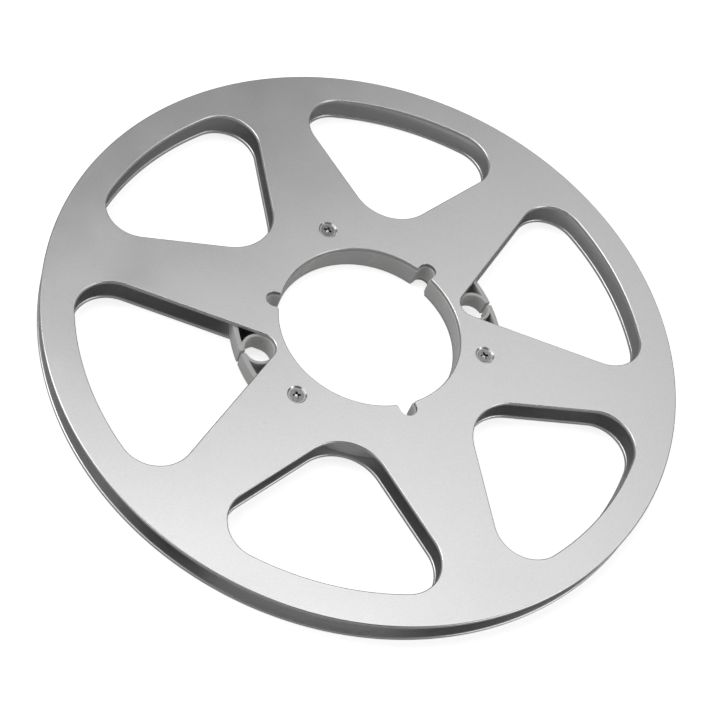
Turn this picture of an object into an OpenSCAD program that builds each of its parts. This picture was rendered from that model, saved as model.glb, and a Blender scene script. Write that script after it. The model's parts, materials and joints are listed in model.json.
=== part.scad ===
// Metal reel for quarter-inch tape: two windowed flanges screwed to a moulded hub.
// The reel lies flat: its axis is +Z, the lower face is at z = 0, and +X runs
// through one of the two anchor eyelets of the hub. All sizes are in millimetres.

/* [Reel] */
// Outer diameter of both flanges
reel_d = 266.7; // [260:0.1:270]
// Overall height, outer face to outer face
reel_h = 11.8; // [11:0.1:14]
// Thickness of each flange
flange_t = 1.8; // [1.8:0.1:2.2]
// Chamfer on the rim and around the bore of a flange
flange_edge = 0.3; // [0.1:0.05:0.5]

/* [Bore] */
// Bore of the hub, which sits on the machine's adaptor
bore_d = 76.2; // [74:0.1:78]
// How much further out the flange's bore is than the hub's
bore_step = 0.3; // [0.1:0.1:0.5]
// Width of the keyways in the flanges
key_w = 7.3; // [6:0.1:8]
// Radius that the flange keyways reach out to
key_r = 44.2; // [43:0.1:45]
// Step of the hub's keyways inside those of the flanges
key_step = 0.6; // [0.3:0.1:0.8]
// Rounding at the mouth of a keyway
key_mouth = 0.8; // [0.4:0.1:1]

/* [Windows] */
// Radius of the outer arc of every window
window_r = 120; // [116:0.5:122]
// Corner radius at the two outer corners of a window
window_corner = 15; // [12:0.5:17]
// Apex of the four short windows, measured from the axis
short_apex = 48.3; // [47:0.1:52]
// Half angle between the sides of a short window
short_half = 41; // [36:0.5:42]
// Tip radius of a short window
short_tip = 19; // [15:0.5:20]
// Apex of the two long windows over the eyelets
long_apex = 38.3; // [37:0.1:39]
// Half angle between the sides of a long window
long_half = 36; // [33:0.5:37]
// Tip radius of a long window
long_tip = 6.1; // [6:0.1:6.5]

/* [Hub] */
// Outer diameter of the hub, where the tape is wound
hub_d = 114.3; // [112:0.1:116]
// Thickness of the winding wall
wall_t = 2; // [1.6:0.1:2.6]
// Thickness of the ring around the bore
ring_t = 3; // [2.5:0.1:3.4]
// Thickness of the ribs
rib_t = 2.2; // [1.6:0.1:3]
// Edge rounding stand-in: chamfer on the hub's rims
hub_edge = 0.35; // [0.1:0.05:0.5]
// Distance of an eyelet from the axis
eyelet_pos = 49.1; // [48.8:0.1:49.4]
// Hole of an eyelet
eyelet_hole_d = 11.7; // [11:0.1:12]
// Outer diameter of an eyelet
eyelet_d = 14.5; // [14:0.1:15]
// Width of the anchor slot through the eyelet and the wall
slot_w = 1.2; // [0.8:0.1:1.6]

/* [Screws] */
// Distance of the screws from the axis
screw_pos = 49; // [48.5:0.1:50]
// Thread diameter
screw_d = 3; // [3:0.5:3]
// Overall length of a countersunk screw
screw_l = 5; // [4.5:0.1:5.2]
// Diameter of the screw head
head_d = 5.9; // [5.6:0.1:6]
// Diameter of the counterbore around the head
sink_d = 6.9; // [6.6:0.1:7.2]
// Depth of the counterbore, below which the seat is a countersink
sink_depth = 0.7; // [0.5:0.1:0.9]
// How far the head lies below the face
head_top = 0.15; // [0.1:0.05:0.2]
// Boss around each screw
boss_d = 8.8; // [8:0.1:10]

/* [Hidden] */
$fn = 180;

reel_r = reel_d / 2;
bore_r = bore_d / 2;
hub_r = hub_d / 2;
hub_h = reel_h - 2 * flange_t;
screw_r = screw_d / 2;
head_r = head_d / 2;
sink_r = sink_d / 2;

// angles around the axis
short_angles = [60, 120, 240, 300];
long_angles = [0, 180];
key_angles = [30, 150, 270];
screw_angles = [90, 210, 330];

// height of the straight rim of a head, above its cone
head_rim = 0.2;
// depth at which the 45 degree seat would come to a point
seat_apex = head_top + head_rim + head_r;
// chamfer on the counterbore's edge
sink_edge = 0.2;
hole_clear = 0.2;
fit_gap = 0.03;
pilot_gap = 0.05;
pilot_mouth = 0.4;
recess_w = 0.85;
recess_l = 3.3;
recess_depth = 1.1;

// overshoot of cutters past the face they cut
over = 1;
// arcs are this much larger than tangent, so that they cross the lines they run into
blend = 0.002;

// ---------- outlines ----------

// Rounded triangle: tip of radius tip on a wedge, outer corners that run into
// an arc of radius window_r about the reel's axis.
module window_2d(apex, half, tip) {
    // centres of the tip and of an outer corner
    tip_x = apex + tip / sin(half);
    in_r = window_r - window_corner;
    // the corner centre is window_corner inside the side line and in_r from the axis
    foot = apex * sin(half) + window_corner;
    along = sqrt(in_r * in_r - foot * foot);
    cx = along * cos(half) + foot * sin(half);
    cy = along * sin(half) - foot * cos(half);
    // points of contact of the side line with both arcs
    t1 = [tip_x - tip * sin(half), tip * cos(half)];
    t2 = [cx - window_corner * sin(half), cy + window_corner * cos(half)];
    reach = (window_r + 20) / in_r;

    translate([tip_x, 0])
        circle(r = tip + blend);
    for (s = [-1, 1])
        translate([cx, s * cy])
            circle(r = window_corner + blend);
    polygon([[t1[0], -t1[1]], [t2[0], -t2[1]], [cx, -cy], [cx, cy], t2, t1]);
    intersection() {
        circle(r = window_r);
        polygon([[cx, -cy], [cx * reach, -cy * reach], [cx * reach, cy * reach], [cx, cy]]);
    }
}

// Keyway along +X: straight sides, a full round end, and a rounded mouth at radius mouth_r.
module keyway_2d(half_w, end_r, mouth_r) {
    m = key_mouth;
    mx = sqrt((mouth_r + m) * (mouth_r + m) - (half_w + m) * (half_w + m));
    my = half_w + m;
    k = mouth_r / (mouth_r + m);
    start = mouth_r - 4;
    translate([start, -half_w])
        square([end_r - half_w - start, 2 * half_w]);
    translate([end_r - half_w, 0])
        circle(r = half_w + blend);
    for (s = [-1, 1])
        difference() {
            polygon([[start, s * (half_w - 1)], [mx * k, s * my * k], [mx, s * my],
                     [mx, s * (half_w - 1)]]);
            translate([mx, s * my])
                circle(r = m + blend);
        }
}

// ---------- flanges ----------

// A flange with its outer face at z = 0, looking along +Z.
module flange() {
    in_r = bore_r + bore_step;
    e = flange_edge;
    difference() {
        rotate_extrude()
            polygon([[in_r, -flange_t + e], [in_r + e, -flange_t], [reel_r - e, -flange_t],
                     [reel_r, -flange_t + e], [reel_r, -e], [reel_r - e, 0],
                     [in_r + e, 0], [in_r, -e]]);
        for (a = short_angles)
            rotate([0, 0, a])
                translate([0, 0, -flange_t - over])
                    linear_extrude(height = flange_t + 2 * over)
                        window_2d(short_apex, short_half, short_tip);
        for (a = long_angles)
            rotate([0, 0, a])
                translate([0, 0, -flange_t - over])
                    linear_extrude(height = flange_t + 2 * over)
                        window_2d(long_apex, long_half, long_tip);
        for (a = key_angles)
            rotate([0, 0, a])
                translate([0, 0, -flange_t - over])
                    linear_extrude(height = flange_t + 2 * over)
                        keyway_2d(key_w / 2, key_r, in_r);
        for (a = screw_angles)
            rotate([0, 0, a])
                translate([screw_pos, 0, 0])
                    screw_seat();
    }
}

// Counterbore, countersink and clearance hole for one screw, cut down from z = 0.
module screw_seat() {
    translate([0, 0, -flange_t - over])
        cylinder(r = screw_r + hole_clear, h = flange_t + over);
    translate([0, 0, -seat_apex])
        cylinder(r1 = 0, r2 = head_r, h = head_r);
    translate([0, 0, -sink_depth])
        cylinder(r = sink_r, h = sink_depth + over);
    translate([0, 0, -sink_edge])
        cylinder(r1 = sink_r, r2 = sink_r + sink_edge + over, h = sink_edge + over);
}

module upper_flange() {
    color("silver")
        translate([0, 0, reel_h])
            flange();
}

// The same flange, turned over about the Y axis.
module lower_flange() {
    color("silver")
        rotate([0, 180, 0])
            flange();
}

// ---------- hub ----------

// Blank of the hub: a thick ring with its four rims chamfered.
module hub_blank() {
    e = hub_edge;
    rotate_extrude()
        polygon([[bore_r, e], [bore_r + e, 0], [hub_r - e, 0], [hub_r, e],
                 [hub_r, hub_h - e], [hub_r - e, hub_h], [bore_r + e, hub_h],
                 [bore_r, hub_h - e]]);
}

module rib_2d(a, r1, r2, w) {
    rotate([0, 0, a])
        translate([r1, -w / 2])
            square([r2 - r1, w]);
}

// Everything that stands between the bore ring and the winding wall.
module web_2d() {
    ring_r = bore_r + ring_t;
    // eyelets, each tied to the bore ring by a short rib
    for (a = long_angles)
        rotate([0, 0, a])
            translate([eyelet_pos, 0])
                circle(d = eyelet_d);
    for (a = long_angles)
        rib_2d(a, ring_r - 1, eyelet_pos - eyelet_hole_d / 2 - 0.4, 4);
    // screw bosses and their ribs
    for (a = screw_angles)
        rotate([0, 0, a])
            translate([screw_pos, 0])
                circle(d = boss_d);
    for (a = screw_angles)
        rib_2d(a, ring_r - 1, hub_r - 1, rib_t);
    // walls around the keyways and their ribs
    for (a = key_angles)
        rotate([0, 0, a])
            translate([key_r - 3, 0])
                circle(r = key_w / 2 + 1.8);
    for (a = key_angles)
        rib_2d(a, key_r, hub_r - 1, rib_t);
}

// Open pockets between the bore ring and the winding wall.
module pockets_2d() {
    difference() {
        circle(r = hub_r - wall_t);
        circle(r = bore_r + ring_t);
        web_2d();
    }
}

module hub() {
    key_half = key_w / 2 - key_step;
    key_end = key_r - key_step;
    color("gainsboro")
        translate([0, 0, flange_t])
            difference() {
                hub_blank();
                translate([0, 0, -over])
                    linear_extrude(height = hub_h + 2 * over)
                        pockets_2d();
                for (a = key_angles)
                    rotate([0, 0, a])
                        translate([0, 0, -over])
                            linear_extrude(height = hub_h + 2 * over)
                                keyway_2d(key_half, key_end, bore_r);
                // eyelet holes and anchor slots
                for (a = long_angles)
                    rotate([0, 0, a]) {
                        translate([eyelet_pos, 0, -over])
                            cylinder(d = eyelet_hole_d, h = hub_h + 2 * over);
                        translate([eyelet_pos, -slot_w / 2, -over])
                            cube([hub_r - eyelet_pos + over, slot_w, hub_h + 2 * over]);
                    }
                // pilot holes for the screws, opened up at both mouths
                for (a = screw_angles)
                    rotate([0, 0, a])
                        translate([screw_pos, 0, 0])
                            pilot_hole();
            }
}

module pilot_hole() {
    r = screw_r + pilot_gap;
    translate([0, 0, -over])
        cylinder(r = r, h = hub_h + 2 * over);
    translate([0, 0, -over])
        cylinder(r1 = r + pilot_mouth + over, r2 = r, h = pilot_mouth + over);
    translate([0, 0, hub_h - pilot_mouth])
        cylinder(r1 = r, r2 = r + pilot_mouth + over, h = pilot_mouth + over);
}

// ---------- screws ----------

// Countersunk screw with a cross recess, seated in a face at z = 0.
module screw() {
    top = -head_top;
    under = top - head_rim;
    cone_r = head_r - fit_gap;
    cone_h = cone_r - screw_r;
    tip = top - screw_l;
    tip_edge = 0.4;
    difference() {
        rotate_extrude($fn = 64)
            polygon([[0, tip], [screw_r - tip_edge, tip], [screw_r, tip + tip_edge],
                     [screw_r, under - cone_h], [cone_r, under], [cone_r, top], [0, top]]);
        for (a = [0, 90])
            rotate([0, 0, a])
                translate([-recess_l / 2, -recess_w / 2, top - recess_depth])
                    cube([recess_l, recess_w, recess_depth + over]);
    }
}

module upper_screw(i) {
    color("dimgray")
        rotate([0, 0, screw_angles[i]])
            translate([screw_pos, 0, reel_h])
                screw();
}

module lower_screw(i) {
    color("dimgray")
        rotate([0, 0, screw_angles[i]])
            translate([screw_pos, 0, 0])
                rotate([180, 0, 0])
                    screw();
}

// ---------- build ----------

upper_flange();
lower_flange();
hub();
for (i = [0:2]) {
    upper_screw(i);
    lower_screw(i);
}
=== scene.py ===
import json
import math

import bpy
import numpy as np
from mathutils import Matrix, Vector
from mathutils.geometry import delaunay_2d_cdt

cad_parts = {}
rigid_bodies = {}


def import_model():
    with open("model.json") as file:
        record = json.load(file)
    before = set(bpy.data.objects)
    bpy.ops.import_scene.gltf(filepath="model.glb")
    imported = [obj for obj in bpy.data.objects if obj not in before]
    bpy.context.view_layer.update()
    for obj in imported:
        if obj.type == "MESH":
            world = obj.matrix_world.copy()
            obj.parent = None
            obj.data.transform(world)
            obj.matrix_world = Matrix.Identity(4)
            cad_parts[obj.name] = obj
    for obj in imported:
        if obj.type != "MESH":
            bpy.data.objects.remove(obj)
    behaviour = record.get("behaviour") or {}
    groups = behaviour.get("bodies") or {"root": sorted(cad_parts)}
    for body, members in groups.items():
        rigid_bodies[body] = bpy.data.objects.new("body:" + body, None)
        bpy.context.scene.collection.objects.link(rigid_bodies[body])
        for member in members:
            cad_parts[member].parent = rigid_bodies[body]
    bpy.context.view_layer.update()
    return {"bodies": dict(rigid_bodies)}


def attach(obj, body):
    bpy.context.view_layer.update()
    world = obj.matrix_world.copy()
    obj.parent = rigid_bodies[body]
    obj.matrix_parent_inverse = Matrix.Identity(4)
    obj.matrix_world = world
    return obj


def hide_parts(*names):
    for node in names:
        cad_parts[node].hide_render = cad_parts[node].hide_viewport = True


# A metal reel for quarter-inch tape. Lengths in the tables below are in millimetres, as in the CAD
# source; every mesh is scaled to metres when it is made.
MM = 0.001

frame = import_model()
ROOT = next(iter(frame["bodies"]))

# ---- sizes, the same as the CAD part's ----
REEL_R = 133.35
REEL_H = 11.8
FLANGE_T = 1.8
HUB_H = REEL_H - 2 * FLANGE_T
BORE_R = 38.1
FLANGE_BORE_R = 38.4
KEY_HALF, KEY_END, KEY_MOUTH = 3.65, 44.2, 0.8
KEY_STEP = 0.6
WINDOW_R, WINDOW_CORNER = 120.0, 15.0
SHORT_WINDOW = dict(apex=48.3, half=41.0, tip=19.0)
LONG_WINDOW = dict(apex=38.3, half=36.0, tip=6.1)
SHORT_ANGLES = (60, 120, 240, 300)
LONG_ANGLES = (0, 180)
KEY_ANGLES = (30, 150, 270)
SCREW_ANGLES = (90, 210, 330)
SCREW_POS = 49.0
SINK_R, SINK_DEPTH = 3.45, 0.7
HUB_R, HUB_WALL_R, HUB_RING_R = 57.15, 55.15, 41.1
EYELET_POS, EYELET_R, EYELET_HOLE_R = 49.1, 7.25, 5.85
SLOT_HALF = 0.6
BOSS_R, RIB_HALF, TIE_HALF = 4.4, 1.1, 2.0
KEY_WALL_POS, KEY_WALL_R = KEY_END - 3, 5.45
PILOT_R = 1.55


# ---- outlines: closed lists of points, with the material on their left ----

def arc(cx, cy, r, a0, a1, step=1.2):
    """Points on a circle from angle a0 to a1 in degrees, both ends included, about step apart."""
    n = max(3, math.ceil(abs(math.radians(a1 - a0)) * r / step))
    angles = np.radians(np.linspace(a0, a1, n + 1))
    return np.stack([cx + r * np.cos(angles), cy + r * np.sin(angles)], 1)


def line(p, q, step=3.0):
    """Points from p to q, both ends left out."""
    p, q = np.array(p, float), np.array(q, float)
    n = max(1, math.ceil(np.linalg.norm(q - p) / step))
    return p + (q - p) * (np.arange(1, n) / n)[:, None]


def joined(*parts):
    """One closed outline from consecutive stretches, without repeated points."""
    pts = np.concatenate([np.atleast_2d(p) for p in parts if len(p)])
    keep = np.linalg.norm(pts - np.roll(pts, 1, axis=0), axis=1) > 1e-6
    return pts[keep]


def turned(pts, degrees):
    a = math.radians(degrees)
    return pts @ np.array([[math.cos(a), math.sin(a)], [-math.sin(a), math.cos(a)]])


def polar(r, degrees):
    """The point at distance r from the axis, at an angle in degrees."""
    t = math.radians(degrees)
    return r * math.cos(t), r * math.sin(t)


def circle(cx, cy, r, n):
    a = np.arange(n) * 2 * math.pi / n
    return np.stack([cx + r * np.cos(a), cy + r * np.sin(a)], 1)


def hole(pts):
    """The outline of an opening, turned so that the material is on its left."""
    x, y = pts[:, 0], pts[:, 1]
    area = np.sum(x * np.roll(y, -1) - y * np.roll(x, -1))
    return pts[::-1] if area > 0 else pts


def solid_outline(pts):
    return hole(pts)[::-1]


def inset(pts, d):
    """The outline moved d into the material, with mitred corners; d is one number or one a point."""
    ahead = np.roll(pts, -1, axis=0) - pts
    ahead /= np.linalg.norm(ahead, axis=1)[:, None]
    n1 = np.stack([-ahead[:, 1], ahead[:, 0]], 1)
    n0 = np.roll(n1, 1, axis=0)
    return pts + (d / (1 + np.sum(n0 * n1, axis=1)))[:, None] * (n0 + n1)


def window_outline(apex, half, tip):
    """Rounded triangle along +X: a wedge with a rounded tip, and corners that run into the rim arc."""
    s, c = math.sin(math.radians(half)), math.cos(math.radians(half))
    tip_x = apex + tip / s
    inner = WINDOW_R - WINDOW_CORNER
    foot = apex * s + WINDOW_CORNER
    along = math.sqrt(inner ** 2 - foot ** 2)
    cx, cy = along * c + foot * s, along * s - foot * c
    rim_angle = math.degrees(math.atan2(cy, cx))
    lower = arc(cx, -cy, WINDOW_CORNER, -90 - half, -rim_angle)
    rim = arc(0, 0, WINDOW_R, -rim_angle, rim_angle, 2.0)
    upper = arc(cx, cy, WINDOW_CORNER, rim_angle, 90 + half)
    nose = arc(tip_x, 0, tip, 90 + half, 270 - half)
    return joined(lower, rim, upper, line(upper[-1], nose[0]), nose, line(nose[-1], lower[0]))


def bore_outline(bore_r, half_w, end_r):
    """The bore with its three round-ended keyways, their mouths rounded."""
    m = KEY_MOUTH
    my = half_w + m
    mx = math.sqrt((bore_r + m) ** 2 - my ** 2)
    mouth = math.degrees(math.atan2(my, mx))
    parts = []
    for i, a in enumerate(KEY_ANGLES):
        enter = arc(mx, -my, m, 180 - mouth, 90, 0.25)
        end = arc(end_r - half_w, 0, half_w, -90, 90, 0.35)
        leave = arc(mx, my, m, 270, 180 + mouth, 0.25)
        key = np.concatenate([
            enter, line(enter[-1], end[0]), end, line(end[-1], leave[0]), leave])
        following = KEY_ANGLES[(i + 1) % 3] + (360 if i == 2 else 0)
        parts += [turned(key, a), arc(0, 0, bore_r, a + mouth, following - mouth)]
    return joined(*parts)


# ---- meshes ----

# a step down a wall that is lower than this belongs to the rounding of an edge
ROUNDING_STEP = 0.5


def rounding(edge, z, down, segments=3):
    """Inset and height of the rings that round an edge off, from the flat face to the wall."""
    sign = -1 if down else 1
    a = np.linspace(0, math.pi / 2, segments + 1)
    return [(edge * (1 - math.sin(t)), z + sign * edge * (1 - math.cos(t))) for t in a]


def wall_rings(top, bottom, edge):
    """Rings down a wall between two flat faces, rounded at both ends."""
    return rounding(edge, top, True) + rounding(edge, bottom, False)[::-1]


class Builder:
    """Gathers points and faces of one mesh, in millimetres."""

    def __init__(self):
        self.points, self.faces, self.smooth, self.kinds = [], [], [], []

    def add(self, pts, z):
        """Adds points at height z and returns their numbers."""
        start = len(self.points)
        self.points += [(float(x), float(y), float(z)) for x, y in pts]
        return list(range(start, len(self.points)))

    def face(self, ids, smooth, kind=0):
        """Adds a face; kind is the place of its material in the object's list."""
        self.faces.append(tuple(ids))
        self.smooth.append(smooth)
        self.kinds.append(kind)

    def bridge(self, above, below, smooth=True, kind=0):
        """Quads between two rings, with the material on their left; kind is one or one a quad."""
        n = len(above)
        kinds = np.broadcast_to(kind, n)
        for i in range(n):
            j = (i + 1) % n
            self.face((above[j], above[i], below[i], below[j]), smooth, int(kinds[i]))

    def walls(self, outline, rings, kind=0, edge_kind=None, share=1.0):
        """Rings along an outline, joined; returns the first and the last ring's points.

        share says how much of the rings' inset each point of the outline takes, and edge_kind is
        for the roundings, where it differs from kind."""
        loops = [self.add(inset(outline, d * share) if d else outline, z) for d, z in rings]
        for k, (above, below) in enumerate(zip(loops, loops[1:])):
            rounded = edge_kind is not None and rings[k][1] - rings[k + 1][1] < ROUNDING_STEP
            self.bridge(above, below, True, edge_kind if rounded else kind)
        return loops[0], loops[-1]

    def fill(self, loops, up, spacing, kind=0):
        """A flat face between loops, with points inside so that its triangles are well shaped."""
        ids = [i for loop in loops for i in loop]
        xy = np.array([self.points[i][:2] for i in ids])
        z = self.points[ids[0]][2]
        edges, polygons, start = [], [], 0
        for loop in loops:
            n = len(loop)
            edges += [(start + i, start + (i + 1) % n) for i in range(n)]
            polygons.append(xy[start:start + n])
            start += n
        inner = self.grid_inside(xy, polygons, spacing)
        coords = [Vector(p) for p in np.concatenate([xy, inner])]
        verts, _, faces, _, _, _ = delaunay_2d_cdt(coords, edges, [], 0, 1e-7, False)
        if len(verts) != len(coords):
            raise ValueError("the outlines of a flat face cross")
        ids = ids + self.add(inner, z)
        flat = np.array([v[:] for v in verts])
        tris = np.array([tuple(f) for f in faces])
        centres = flat[tris].mean(axis=1)
        a, b, c = flat[tris[:, 0]], flat[tris[:, 1]], flat[tris[:, 2]]
        turn = (b - a)[:, 0] * (c - a)[:, 1] - (b - a)[:, 1] * (c - a)[:, 0]
        keep = inside(centres, polygons) & (np.abs(turn) > 1e-9)
        for t, w in zip(tris[keep], turn[keep]):
            order = t if (w > 0) == up else t[::-1]
            self.face([ids[i] for i in order], False, kind)

    @staticmethod
    def grid_inside(xy, polygons, spacing):
        """A staggered grid of points inside the polygons and clear of their edges."""
        low, high = xy.min(axis=0), xy.max(axis=0)
        row_gap, clear = spacing * 0.866, spacing * 0.6
        across = np.arange(low[0], high[0], spacing)
        grid = np.concatenate([
            np.stack([across + (k % 2) * spacing / 2, np.full(len(across), y)], 1)
            for k, y in enumerate(np.arange(low[1], high[1], row_gap))])
        grid = grid[inside(grid, polygons)]
        near = np.array([np.min(np.sum((xy - p) ** 2, axis=1)) for p in grid])
        return grid[near > clear ** 2]

    def lathe(self, profile, n):
        """Surface of revolution of (radius, z) points from the top down, open at both ends."""
        rings = [self.add(circle(0, 0, r, n), z) for r, z in profile]
        for above, below in zip(rings, rings[1:]):
            self.bridge(above, below)
        return rings[0], rings[-1]

    def point(self, ring, z, kind=0):
        """Triangles from a ring down to a point on the axis."""
        tip = self.add([(0.0, 0.0)], z)[0]
        for i, here in enumerate(ring):
            self.face((ring[(i + 1) % len(ring)], here, tip), False, kind)

    def object(self, name, matrix, materials):
        """Makes the object, its mesh scaled to metres and put in place by matrix."""
        mesh = bpy.data.meshes.new(name)
        mesh.from_pydata(self.points, [], self.faces)
        mesh.transform(matrix @ Matrix.Scale(MM, 4))
        mesh.polygons.foreach_set("material_index", self.kinds)
        for m in materials:
            mesh.materials.append(m)
        if mesh.validate():
            raise ValueError(f"the mesh of {name} had faults")
        mesh.set_sharp_from_angle(angle=math.radians(40))
        mesh.polygons.foreach_set("use_smooth", self.smooth)
        mesh.update()
        made = bpy.data.objects.new(name, mesh)
        bpy.context.scene.collection.objects.link(made)
        return made


def inside(points, polygons):
    """True for each point that an odd number of the polygons holds."""
    result = np.zeros(len(points), bool)
    x, y = points[:, 0], points[:, 1]
    for poly in polygons:
        nxt = np.roll(poly, -1, axis=0)
        for (x0, y0), (x1, y1) in zip(poly, nxt):
            if y0 == y1:
                continue
            crosses = (y0 > y) != (y1 > y)
            result ^= crosses & (x < (x1 - x0) * (y - y0) / (y1 - y0) + x0)
    return result


# ---- materials ----

def node_material(name):
    """A new material, its node tree, its shader and the object's own coordinates."""
    mat = bpy.data.materials.new(name)
    mat.use_nodes = True
    tree = mat.node_tree
    shader = tree.nodes["Principled BSDF"]
    place = tree.nodes.new("ShaderNodeTexCoord").outputs["Object"]
    return mat, tree, shader, place


def noise(tree, place, scale, detail, roughness=0.5):
    n = tree.nodes.new("ShaderNodeTexNoise")
    n.inputs["Scale"].default_value = scale
    n.inputs["Detail"].default_value = detail
    n.inputs["Roughness"].default_value = roughness
    tree.links.new(place, n.inputs["Vector"])
    return n.outputs["Fac"]


def spread(tree, value, low, high, start=0.3, end=0.7):
    """Maps a value between start and end to one between low and high."""
    n = tree.nodes.new("ShaderNodeMapRange")
    n.inputs["From Min"].default_value = start
    n.inputs["From Max"].default_value = end
    n.inputs["To Min"].default_value = low
    n.inputs["To Max"].default_value = high
    tree.links.new(value, n.inputs["Value"])
    return n.outputs["Result"]


def product(tree, a, b):
    n = tree.nodes.new("ShaderNodeMath")
    n.operation = "MULTIPLY"
    tree.links.new(a, n.inputs[0])
    tree.links.new(b, n.inputs[1])
    return n.outputs[0]


def grey(tree, value, tint=(1.0, 1.0, 1.0)):
    """A colour from one value, with a slight tint."""
    n = tree.nodes.new("ShaderNodeCombineColor")
    for channel, t in zip(("Red", "Green", "Blue"), tint):
        m = tree.nodes.new("ShaderNodeMath")
        m.operation = "MULTIPLY"
        m.inputs[1].default_value = t
        tree.links.new(value, m.inputs[0])
        tree.links.new(m.outputs[0], n.inputs[channel])
    return n.outputs["Color"]


def bump(tree, shader, height, distance, strength):
    n = tree.nodes.new("ShaderNodeBump")
    n.inputs["Distance"].default_value = distance
    n.inputs["Strength"].default_value = strength
    tree.links.new(height, n.inputs["Height"])
    tree.links.new(n.outputs["Normal"], shader.inputs["Normal"])


def blasted_aluminium(name, level, rough, tint=(1.0, 1.0, 1.006)):
    """Bead-blasted and anodised aluminium: fine grain, faint cloudy mottling."""
    mat, tree, shader, place = node_material(name)
    shader.inputs["Metallic"].default_value = 1.0
    clouds = noise(tree, place, 28, 4, 0.6)
    grain = noise(tree, place, 1500, 2)
    value = product(tree, spread(tree, clouds, level * 0.975, level * 1.02),
                    spread(tree, grain, 0.965, 1.03))
    tree.links.new(grey(tree, value, tint), shader.inputs["Base Color"])
    tree.links.new(spread(tree, clouds, rough - 0.03, rough + 0.03), shader.inputs["Roughness"])
    bump(tree, shader, grain, 0.00004, 0.35)
    return mat


def moulded_plastic(name, level, rough):
    """Light-grey moulded plastic with a faint grain and flow marks."""
    mat, tree, shader, place = node_material(name)
    flow = noise(tree, place, 70, 3, 0.6)
    grain = noise(tree, place, 2200, 2)
    value = product(tree, spread(tree, flow, level * 0.96, level * 1.03),
                    spread(tree, grain, 0.97, 1.02))
    tree.links.new(grey(tree, value, (1.0, 1.0, 0.985)), shader.inputs["Base Color"])
    tree.links.new(spread(tree, flow, rough - 0.05, rough + 0.05), shader.inputs["Roughness"])
    bump(tree, shader, grain, 0.00003, 0.3)
    return mat


def screw_steel(name, level, rough):
    """Plated steel with fine scratches and dull patches."""
    mat, tree, shader, place = node_material(name)
    shader.inputs["Metallic"].default_value = 1.0
    patches = noise(tree, place, 900, 3)
    scratches = noise(tree, place, 6000, 2, 0.7)
    value = product(tree, spread(tree, patches, level * 0.85, level * 1.08),
                    spread(tree, scratches, 0.93, 1.05))
    tree.links.new(grey(tree, value, (1.0, 0.995, 0.98)), shader.inputs["Base Color"])
    tree.links.new(spread(tree, patches, rough - 0.06, rough + 0.08), shader.inputs["Roughness"])
    bump(tree, shader, scratches, 0.00001, 0.3)
    return mat


FACE_METAL = blasted_aluminium("flange_face", 0.80, 0.35)
# the rounded edges' metal is brighter and smoother than the face's: a painted highlight along the edges
HIGHLIGHT_EDGE_METAL = blasted_aluminium("flange_edge", 0.90, 0.26)
# the walls' metal is darker than the face's: painted shade on the upright walls
SHADED_WALL_METAL = blasted_aluminium("flange_wall_shaded", 0.64, 0.40)
# much darker metal for the counterbores and the keyways' walls: painted shade in these recesses
SHADED_SEAT_METAL = blasted_aluminium("flange_seat_shade", 0.32, 0.45)
# the inner faces' metal is a little darker than the outer faces': painted shade between the flanges
SHADED_INNER_METAL = blasted_aluminium("flange_inner_shaded", 0.73, 0.38)
HUB_PLASTIC = moulded_plastic("hub_plastic", 0.62, 0.24)
STEEL = screw_steel("screw_steel", 0.35, 0.30)
# almost black steel for the cross recess's walls: painted shade in the recess
SHADED_RECESS_STEEL = screw_steel("screw_recess_shade", 0.05, 0.4)
# bright, smooth steel at the bottom of the cross recess: a painted highlight, the glint in its middle
GLINT_TIP_STEEL = screw_steel("screw_tip_glint", 0.95, 0.25)

# the materials of a flange and of a screw, and the kind of face that each is for
FLANGE_METALS = [FACE_METAL, HIGHLIGHT_EDGE_METAL, SHADED_WALL_METAL, SHADED_SEAT_METAL, SHADED_INNER_METAL]
FACE, EDGE, WALL, SEAT, INNER = range(5)
SCREW_STEELS = [STEEL, SHADED_RECESS_STEEL, GLINT_TIP_STEEL]
HEAD, RECESS, RECESS_TIP = range(3)


# ---- flanges ----

# radii of the rounded edges, and the chamfer of a counterbore; all are larger than the CAD's
# chamfers, because the photograph shows softer edges
RIM_EDGE, BORE_EDGE, WINDOW_EDGE, SINK_EDGE = 0.4, 0.35, 0.4, 0.6
# a keyway begins this far beyond the bore, and from there its edges take this share of BORE_EDGE
KEY_START, KEY_SHARE = 0.8, 0.25
# how much the rim is smaller than the CAD's, to stay inside the CAD's box
RIM_GAP = 0.01
RIM_SIDES, SEAT_SIDES = 480, 64
# distance between the points inside a flat face
FLANGE_SPACING = 5.0


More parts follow.
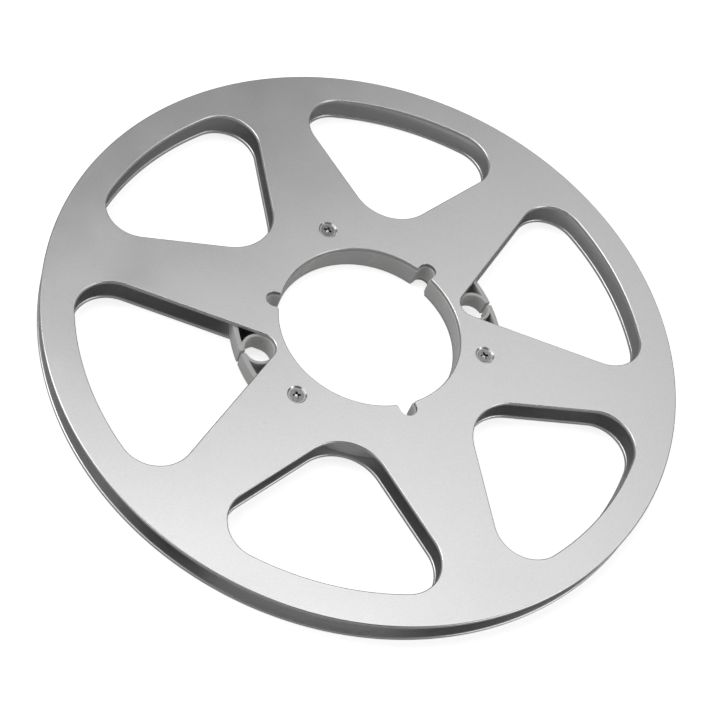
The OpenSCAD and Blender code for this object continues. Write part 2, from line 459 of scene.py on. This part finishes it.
def flange(name, matrix):
    """A flange with its outer face at z = 0, looking along +Z."""
    b = Builder()
    cuts = [(solid_outline(circle(0, 0, REEL_R - RIM_GAP, RIM_SIDES)), RIM_EDGE, 1.0, WALL)]
    # the bore's edges are well rounded, the keyways' only just broken, and their walls are darkened with
    # painted shade
    bore = hole(bore_outline(FLANGE_BORE_R, KEY_HALF, KEY_END))
    beyond = np.hypot(bore[:, 0], bore[:, 1]) - FLANGE_BORE_R
    share = np.interp(beyond, (0.0, KEY_START), (1.0, KEY_SHARE))
    cuts.append((bore, BORE_EDGE, share, np.where(beyond > KEY_START, SEAT, WALL)))
    for angles, window in ((SHORT_ANGLES, SHORT_WINDOW), (LONG_ANGLES, LONG_WINDOW)):
        for a in angles:
            cuts.append((hole(turned(window_outline(**window), a)), WINDOW_EDGE, 1.0, WALL))
    tops, bottoms = [], []
    for outline, edge, share, kind in cuts:
        top, bottom = b.walls(outline, wall_rings(0, -FLANGE_T, edge), kind, EDGE, share)
        tops.append(top)
        bottoms.append(bottom)
    # counterbores with a chamfered edge and a countersunk seat, from the top down
    seat = [(SINK_R + SINK_EDGE, 0), (SINK_R, -SINK_EDGE), (SINK_R, -SINK_DEPTH),
            (SEAT_APEX - SINK_DEPTH, -SINK_DEPTH), (SEAT_APEX - FLANGE_T, -FLANGE_T)]
    for a in SCREW_ANGLES:
        x, y = polar(SCREW_POS, a)
        rings = [b.add(circle(x, y, r, SEAT_SIDES)[::-1], z) for r, z in seat]
        # the counterbore's wall and the seat's cone take the darkest metal, as painted shade; the
        # chamfer takes the brighter edge metal, as a painted highlight
        for above, below, kind in zip(rings, rings[1:], (EDGE, SEAT, WALL, SEAT)):
            b.bridge(above, below, True, kind)
        tops.append(rings[0])
        bottoms.append(rings[-1])
    b.fill(tops, True, FLANGE_SPACING, FACE)
    b.fill(bottoms, False, FLANGE_SPACING, INNER)
    return b.object(name, matrix, FLANGE_METALS)


# ---- hub ----

# radii of the rounded edges of the rim and bore, the pockets and the pilot holes
HUB_EDGE, POCKET_EDGE, PILOT_EDGE = 0.35, 0.25, 0.4
PILOT_SIDES = 48
HUB_SPACING = 2.5


def eyelet_side():
    """Side of an eyelet web along +X, y > 0, from the bore ring out to the winding wall."""
    foot = math.degrees(math.asin(TIE_HALF / EYELET_R))
    x = (EYELET_POS ** 2 + HUB_WALL_R ** 2 - EYELET_R ** 2) / (2 * EYELET_POS)
    y = math.sqrt(HUB_WALL_R ** 2 - x * x)
    meet = math.degrees(math.atan2(y, x - EYELET_POS))
    start = (math.sqrt(HUB_RING_R ** 2 - TIE_HALF ** 2), TIE_HALF)
    return np.concatenate([[start], arc(EYELET_POS, 0, EYELET_R, 180 - foot, meet, 0.6)])


def boss_side():
    """Side of a screw boss and its rib."""
    foot = math.degrees(math.asin(RIB_HALF / BOSS_R))
    start = (math.sqrt(HUB_RING_R ** 2 - RIB_HALF ** 2), RIB_HALF)
    end = (math.sqrt(HUB_WALL_R ** 2 - RIB_HALF ** 2), RIB_HALF)
    return np.concatenate([[start], arc(SCREW_POS, 0, BOSS_R, 180 - foot, foot, 0.6), [end]])


def key_side():
    """Side of a keyway's wall and its rib."""
    x = (KEY_WALL_POS ** 2 + HUB_RING_R ** 2 - KEY_WALL_R ** 2) / (2 * KEY_WALL_POS)
    y = math.sqrt(HUB_RING_R ** 2 - x * x)
    meet = math.degrees(math.atan2(y, x - KEY_WALL_POS))
    foot = math.degrees(math.asin(RIB_HALF / KEY_WALL_R))
    end = (math.sqrt(HUB_WALL_R ** 2 - RIB_HALF ** 2), RIB_HALF)
    return np.concatenate([arc(KEY_WALL_POS, 0, KEY_WALL_R, meet, foot, 0.6), [end]])


def angle_of(p):
    return math.degrees(math.atan2(p[1], p[0]))


def pocket_outlines():
    """The open pockets between neighbouring webs."""
    webs = sorted([(a, eyelet_side()) for a in LONG_ANGLES]
                  + [(a, boss_side()) for a in SCREW_ANGLES]
                  + [(a, key_side()) for a in KEY_ANGLES], key=lambda w: w[0])
    outlines = []
    for i, (a, side) in enumerate(webs):
        b, other = webs[(i + 1) % len(webs)]
        b += 360 if b <= a else 0
        near = turned(side, a)
        far = turned(other * [1, -1], b)[::-1]
        outer = arc(0, 0, HUB_WALL_R, a + angle_of(side[-1]), b - angle_of(other[-1]), 1.5)
        inner = arc(0, 0, HUB_RING_R, b - angle_of(other[0]), a + angle_of(side[0]), 1.5)
        outlines.append(joined(near, outer, far, inner))
    return outlines


def hub_outline():
    """Outside of the hub, running in through the anchor slots and round the eyelet holes."""
    cut = math.degrees(math.asin(SLOT_HALF / HUB_R))
    gap = math.degrees(math.asin(SLOT_HALF / EYELET_HOLE_R))
    mouth = math.sqrt(HUB_R ** 2 - SLOT_HALF ** 2)
    throat = EYELET_POS + math.sqrt(EYELET_HOLE_R ** 2 - SLOT_HALF ** 2)
    way_in = line((mouth, -SLOT_HALF), (throat, -SLOT_HALF), 0.8)
    eyelet = np.concatenate([way_in, arc(EYELET_POS, 0, EYELET_HOLE_R, -gap, gap - 360, 0.5),
                             way_in[::-1] * [1, -1]])
    return joined(eyelet, arc(0, 0, HUB_R, cut, 180 - cut), turned(eyelet, 180),
                  arc(0, 0, HUB_R, 180 + cut, 360 - cut))


def hub(name):
    """The moulding between the flanges, open at both faces."""
    b = Builder()
    bore = bore_outline(BORE_R, KEY_HALF - KEY_STEP, KEY_END - KEY_STEP)
    cuts = [(solid_outline(hub_outline()), HUB_EDGE), (hole(bore), HUB_EDGE)]
    cuts += [(hole(p), POCKET_EDGE) for p in pocket_outlines()]
    cuts += [(circle(*polar(SCREW_POS, a), PILOT_R, PILOT_SIDES)[::-1], PILOT_EDGE)
             for a in SCREW_ANGLES]
    tops, bottoms = [], []
    for outline, edge in cuts:
        top, bottom = b.walls(outline, wall_rings(HUB_H, 0, edge))
        tops.append(top)
        bottoms.append(bottom)
    b.fill(tops, True, HUB_SPACING)
    b.fill(bottoms, False, HUB_SPACING)
    return b.object(name, Matrix.Translation((0, 0, FLANGE_T * MM)), [HUB_PLASTIC])


# ---- screws ----

# the heads lie 0.3 mm deeper than in the CAD, because the photograph shows them so
HEAD_R, HEAD_TOP, HEAD_RIM = 2.92, -0.45, 0.2
SHANK_R, SCREW_L = 1.48, 4.7
# depth at which the 45 degree cone under a head, and its seat in the flange, would come to a point
SEAT_APEX = HEAD_R + HEAD_RIM - HEAD_TOP
THREAD_PITCH, THREAD_DEPTH = 0.5, 0.27
# rings of points in one turn of the thread, and rings over which it fades in
RINGS_PER_TURN, FADE_RINGS = 5, 4
# length of the tapered tip, and how much of the radius it loses
TIP_LENGTH, TIP_TAPER = 0.6, 0.45
SCREW_SIDES = 48
HEAD_SPACING = 0.5
# how far outside the shank the cone under the head ends
NECK = 0.02

# the cross recess from the top down: half width and half length of its arms, their corners' cut,
# and height from the head's top; then the depth of the point in its middle
CROSS = ((0.50, 1.66, 0.14, 0.0), (0.44, 1.60, 0.13, -0.06), (0.41, 1.45, 0.12, -0.40),
         (0.38, 1.20, 0.10, -0.75), (0.36, 0.95, 0.08, -0.95))
CROSS_DEPTH = 1.02
# the rounded rim of a head: inset and height from its top
HEAD_ROUNDING = ((0.12, 0.0), (0.04, -0.02), (0.0, -0.08), (0.0, -HEAD_RIM))


def cross_outline(half, length, corner):
    """Outline of a four-winged cross recess, with slanting sides between neighbouring wings."""
    arm = np.array([(half * 1.25, -half * 1.25), (half * 1.6, -half), (length - corner, -half),
                    (length, -half + corner), (length, half - corner), (length - corner, half),
                    (half * 1.6, half)])
    return np.concatenate([turned(arm, a) for a in (0, 90, 180, 270)])


def screw(name, matrix):
    """A countersunk screw seated in a face at z = 0, looking along +Z."""
    b = Builder()
    loops = [b.add(hole(cross_outline(h, l, c)), HEAD_TOP + z) for h, l, c, z in CROSS]
    # the recess's walls are painted almost black, as shade
    for above, below in zip(loops, loops[1:]):
        b.bridge(above, below, False, RECESS)
    # the recess's bottom is painted bright, as a glint
    b.point(loops[-1], HEAD_TOP - CROSS_DEPTH, RECESS_TIP)
    cone_end = HEAD_TOP - HEAD_RIM - (HEAD_R - SHANK_R)
    profile = [(HEAD_R - e, HEAD_TOP + z) for e, z in HEAD_ROUNDING]
    profile += [(SHANK_R + NECK, cone_end)]
    top, above = b.lathe(profile, SCREW_SIDES)
    b.fill([top, loops[0]], True, HEAD_SPACING, HEAD)
    # helical thread, fading in under the head, on a shank that tapers at its tip
    end = HEAD_TOP - SCREW_L
    steps = math.ceil((cone_end - end) / (THREAD_PITCH / RINGS_PER_TURN))
    angles = np.arange(SCREW_SIDES) / SCREW_SIDES
    around = angles * 2 * math.pi
    for k in range(1, steps + 1):
        z = cone_end + (end - cone_end) * k / steps
        turn = (z / THREAD_PITCH + angles) % 1.0
        groove = 1 - np.abs(2 * turn - 1)
        fade = min(1.0, k / FADE_RINGS)
        taper = max(0.0, 1 - (z - end) / TIP_LENGTH)
        r = SHANK_R - THREAD_DEPTH * groove * fade - TIP_TAPER * taper
        below = b.add(np.stack([r * np.cos(around), r * np.sin(around)], 1), z)
        b.bridge(above, below)
        above = below
    b.point(above, end)
    return b.object(name, matrix, SCREW_STEELS)


# ---- the object ----

def placed(piece, node):
    """Ties a piece to the body and hides the CAD node that it replaces."""
    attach(piece, ROOT)
    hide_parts(node)
    return piece


UP = Matrix.Translation((0, 0, REEL_H * MM))
placed(flange("flange_upper", UP), "upper_flange")
placed(flange("flange_lower", Matrix.Rotation(math.pi, 4, "Y")), "lower_flange")
placed(hub("hub_moulding"), "hub")

# how far each driven screw happens to be turned, in degrees
UPPER_TURNS = (49, 78, 82)
LOWER_TURNS = (12, 50, 81)
for i, (a, up_turn, low_turn) in enumerate(zip(SCREW_ANGLES, UPPER_TURNS, LOWER_TURNS)):
    spot = Vector((*polar(SCREW_POS, a), 0)) * MM
    upper = UP @ Matrix.Translation(spot) @ Matrix.Rotation(math.radians(up_turn), 4, "Z")
    lower = (Matrix.Translation(spot) @ Matrix.Rotation(math.pi, 4, "X")
             @ Matrix.Rotation(math.radians(low_turn), 4, "Z"))
    placed(screw(f"screw_upper_{i + 1}", upper), f"upper_screw_{i + 1}")
    placed(screw(f"screw_lower_{i + 1}", lower), f"lower_screw_{i + 1}")


# ---- floor, lights and camera ----

# lengths are in metres from here on
# name, elevation and azimuth in degrees, side, power in watts
SOFTBOXES = (
    ("top", 78, 60, 0.8, 3.2),
    ("high_far_left", 62, 120, 1.2, 5.4),
    ("high_far", 60, 40, 0.8, 1.4),
    ("high_right", 60, 0, 0.8, 1.9),
    ("left", 42, 144, 0.8, 4.2),
    ("far_right", 42, 33, 0.8, 0.9),
    ("right", 42, 324, 0.8, 2.1),
    ("low_right", 8, 300, 1.2, 7.9),
    ("low_left", 22, 175, 2.4, 13.0),
)


def floor_paper():
    """White paper that glows a little, to be as pale as the photograph's ground."""
    mat, tree, shader, place = node_material("floor_paper")
    value = spread(tree, noise(tree, place, 12, 3), 0.90, 0.92)
    tree.links.new(grey(tree, value), shader.inputs["Base Color"])
    shader.inputs["Roughness"].default_value = 0.9
    shader.inputs["Specular IOR Level"].default_value = 0.1
    shader.inputs["Emission Color"].default_value = (1.0, 1.0, 1.0, 1.0)
    shader.inputs["Emission Strength"].default_value = 0.68
    return mat


def floor():
    """A floor just under the reel, which the reel's surfaces neither mirror nor take light from."""
    size, steps, drop = 12.0, 24, 0.0002
    c = np.linspace(-size / 2, size / 2, steps + 1)
    verts = [(x, y, -drop) for y in c for x in c]
    w = steps + 1
    faces = [(r * w + k, r * w + k + 1, (r + 1) * w + k + 1, (r + 1) * w + k)
             for r in range(steps) for k in range(steps)]
    mesh = bpy.data.meshes.new("floor")
    mesh.from_pydata(verts, [], faces)
    mesh.materials.append(floor_paper())
    obj = bpy.data.objects.new("floor", mesh)
    bpy.context.scene.collection.objects.link(obj)
    obj.visible_glossy = False
    obj.visible_diffuse = False


def softboxes(distance):
    """Square softboxes on a dome, all turned to the reel."""
    for name, elevation, azimuth, side, power in SOFTBOXES:
        e, a = math.radians(elevation), math.radians(azimuth)
        aim = Vector((math.cos(e) * math.cos(a), math.cos(e) * math.sin(a), math.sin(e)))
        data = bpy.data.lights.new(name, "AREA")
        data.shape = "SQUARE"
        data.size = side
        data.energy = power
        obj = bpy.data.objects.new(name, data)
        obj.location = aim * distance
        obj.rotation_mode = "QUATERNION"
        obj.rotation_quaternion = (-aim).to_track_quat("-Z", "Y")
        bpy.context.scene.collection.objects.link(obj)


def world(above, below):
    """A plain grey studio, lighter below the horizon, where it stands in for the pale floor."""
    w = bpy.data.worlds.new("studio")
    w.use_nodes = True
    tree = w.node_tree
    way = tree.nodes.new("ShaderNodeTexCoord").outputs["Generated"]
    parts = tree.nodes.new("ShaderNodeSeparateXYZ")
    tree.links.new(way, parts.inputs["Vector"])
    level = spread(tree, parts.outputs["Z"], below, above, -0.05, 0.05)
    back = tree.nodes["Background"]
    tree.links.new(grey(tree, level), back.inputs["Color"])
    bpy.context.scene.world = w


def camera():
    """The photograph's viewpoint: position, a point on the upper face that it looks at, and its roll."""
    spot = Vector((-0.28539, -0.30846, 0.55415))
    aim = Vector((-0.01115, -0.01510, 0.0118))
    roll = math.radians(25.38)
    data = bpy.data.cameras.new("camera")
    data.lens = 84.13
    data.sensor_width = 36.0
    data.clip_start, data.clip_end = 0.01, 20.0
    obj = bpy.data.objects.new("camera", data)
    forward = (aim - spot).normalized()
    level = forward.to_track_quat("-Z", "Y").to_matrix().to_4x4()
    obj.matrix_world = Matrix.Translation(spot) @ Matrix.Rotation(roll, 4, -forward) @ level
    bpy.context.scene.collection.objects.link(obj)
    bpy.context.scene.camera = obj


bpy.context.scene.view_settings.view_transform = "Standard"
floor()
softboxes(distance=2.0)
world(above=0.12, below=0.28)
camera()
